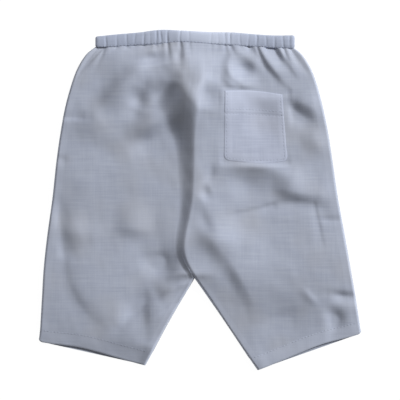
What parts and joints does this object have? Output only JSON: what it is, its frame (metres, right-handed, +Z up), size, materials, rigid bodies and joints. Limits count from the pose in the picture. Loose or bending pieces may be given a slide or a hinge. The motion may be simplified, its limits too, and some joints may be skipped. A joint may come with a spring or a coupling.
{
  "type": "baby trousers",
  "caption": "Pull-on baby trousers laid flat, seat side up, with an elastic waist, wide straight legs, turned-up hems and a patch pocket on the seat.",
  "frame": {"origin": "middle of the plan outline's bounding box, on the surface the trousers lie on", "axes": "+X to the wearer's right, which is the right of the picture, +Y towards the waist, +Z up from the surface"},
  "size_m": [0.322, 0.3401, 0.0188],
  "materials": {
    "leg_linen": "plain woven linen, matt",
    "casing_linen": "plain woven linen, doubled over elastic and gathered",
    "hem_linen": "plain woven linen, turned up and stitched",
    "pocket_linen": "plain woven linen, edges turned under and stitched"
  },
  "bodies": {
    "root": {"waistband_back": "casing_linen", "waistband_front": "casing_linen", "back_left": "leg_linen", "back_right": "leg_linen", "front_left": "leg_linen", "front_right": "leg_linen", "hem_back_left": "hem_linen", "hem_back_right": "hem_linen", "hem_front_left": "hem_linen", "hem_front_right": "hem_linen", "pocket": "pocket_linen"}
  },
  "joints": []
}
